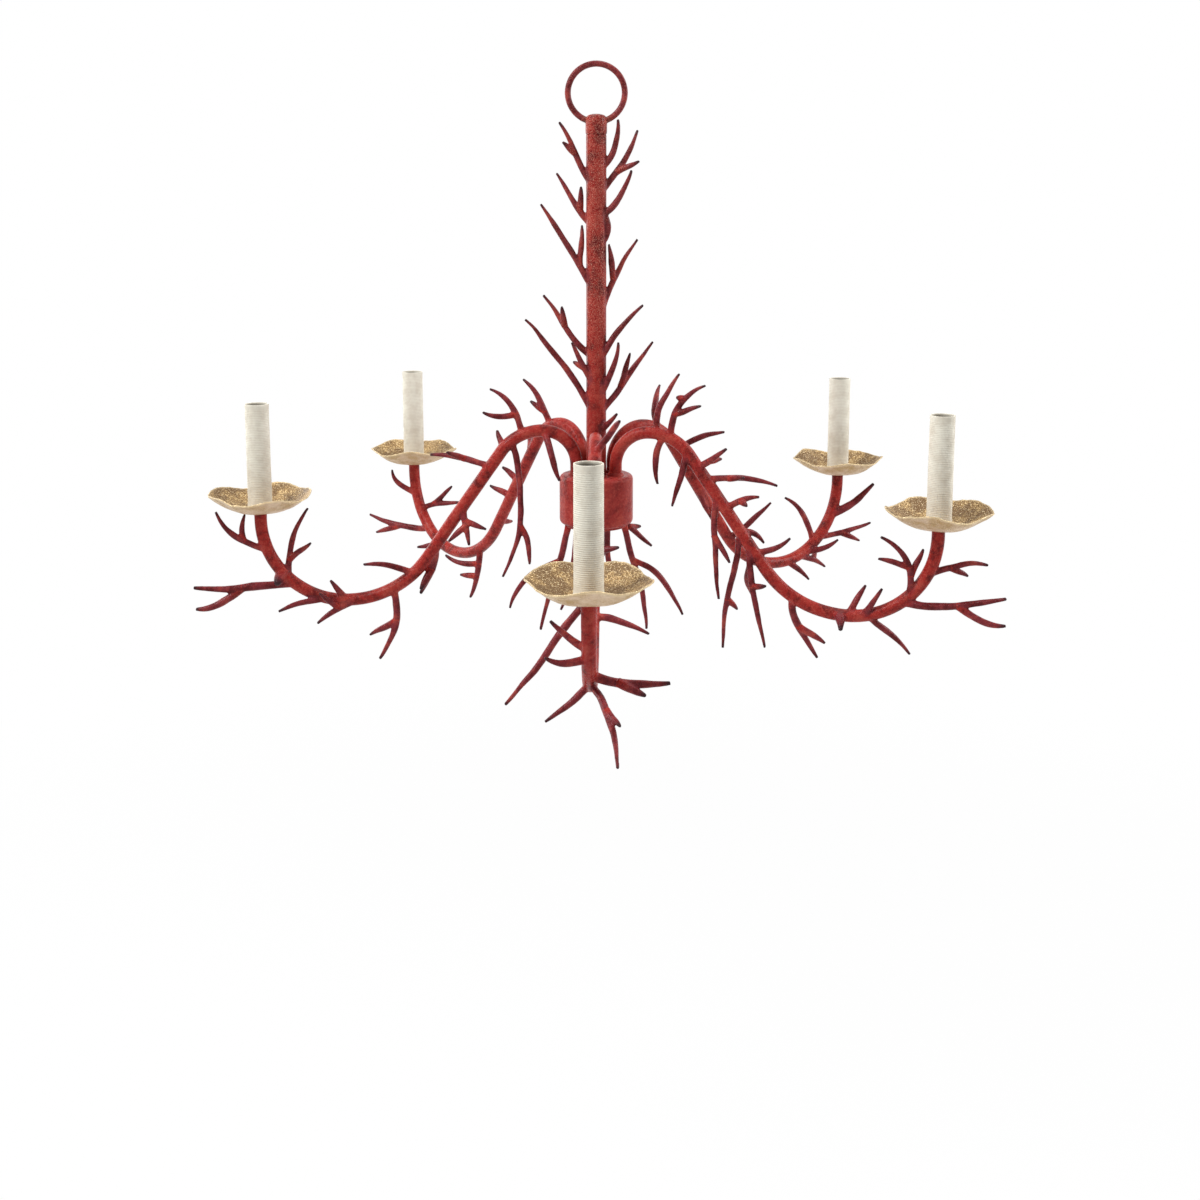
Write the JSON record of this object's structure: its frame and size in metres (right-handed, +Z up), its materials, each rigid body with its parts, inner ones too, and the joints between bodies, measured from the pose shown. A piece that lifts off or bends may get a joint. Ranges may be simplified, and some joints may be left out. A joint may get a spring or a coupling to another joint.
{
  "type": "coral branch chandelier",
  "caption": "Hanging chandelier of red coral-like branching arms with wavy gilt drip pans and ivory candle sleeves that hold small screw-base lamps.",
  "frame": {"origin": "the top of the hanging ring's opening, where a hook carries it", "axes": "+Z up, -Y the front, towards the nearest candle, +X to the right seen from the front"},
  "size_m": [0.7445, 0.6606, 0.5608],
  "materials": {
    "coral_red": "mottled coral red lacquer over steel",
    "gilt": "aged gilt, speckled",
    "ivory": "matt ivory, finely ribbed",
    "plain_steel": "zinc plated",
    "lamp_holder": "black moulded",
    "shell_brass": "plain"
  },
  "bodies": {
    "fixture": {"hanging_ring": "coral_red", "ring_cap": "coral_red", "column_tube": "coral_red", "column_twigs": "coral_red", "centre_rod": "plain_steel", "hub_body": "coral_red", "hub_cover": "coral_red", "cover_nut": "coral_red", "hub_twigs": "coral_red", "arm_collars": "coral_red", "arm_nuts": "plain_steel", "front_arm": "coral_red", "front_twigs": "coral_red", "front_pan": "gilt", "right_front_arm": "coral_red", "right_front_twigs": "coral_red", "right_front_pan": "gilt", "right_rear_arm": "coral_red", "right_rear_twigs": "coral_red", "right_rear_pan": "gilt", "left_rear_arm": "coral_red", "left_rear_twigs": "coral_red", "left_rear_pan": "gilt", "left_front_arm": "coral_red", "left_front_twigs": "coral_red", "left_front_pan": "gilt", "pan_nipples": "plain_steel", "pan_nuts": "plain_steel", "socket_legs": "plain_steel", "socket_bodies": "lamp_holder", "screw_shells": "shell_brass", "centre_contacts": "shell_brass"},
    "front_candle": {"front_sleeve": "ivory"},
    "right_front_candle": {"right_front_sleeve": "ivory"},
    "right_rear_candle": {"right_rear_sleeve": "ivory"},
    "left_rear_candle": {"left_rear_sleeve": "ivory"},
    "left_front_candle": {"left_front_sleeve": "ivory"}
  },
  "joints": [
    {"name": "front_candle_lift", "type": "slide", "parent": "fixture", "child": "front_candle", "axis": [0, 0, 1], "range_m": [0, 0.105]},
    {"name": "right_front_candle_lift", "type": "slide", "parent": "fixture", "child": "right_front_candle", "axis": [0, 0, 1], "range_m": [0, 0.105]},
    {"name": "right_rear_candle_lift", "type": "slide", "parent": "fixture", "child": "right_rear_candle", "axis": [0, 0, 1], "range_m": [0, 0.105]},
    {"name": "left_rear_candle_lift", "type": "slide", "parent": "fixture", "child": "left_rear_candle", "axis": [0, 0, 1], "range_m": [0, 0.105]},
    {"name": "left_front_candle_lift", "type": "slide", "parent": "fixture", "child": "left_front_candle", "axis": [0, 0, 1], "range_m": [0, 0.105]}
  ]
}
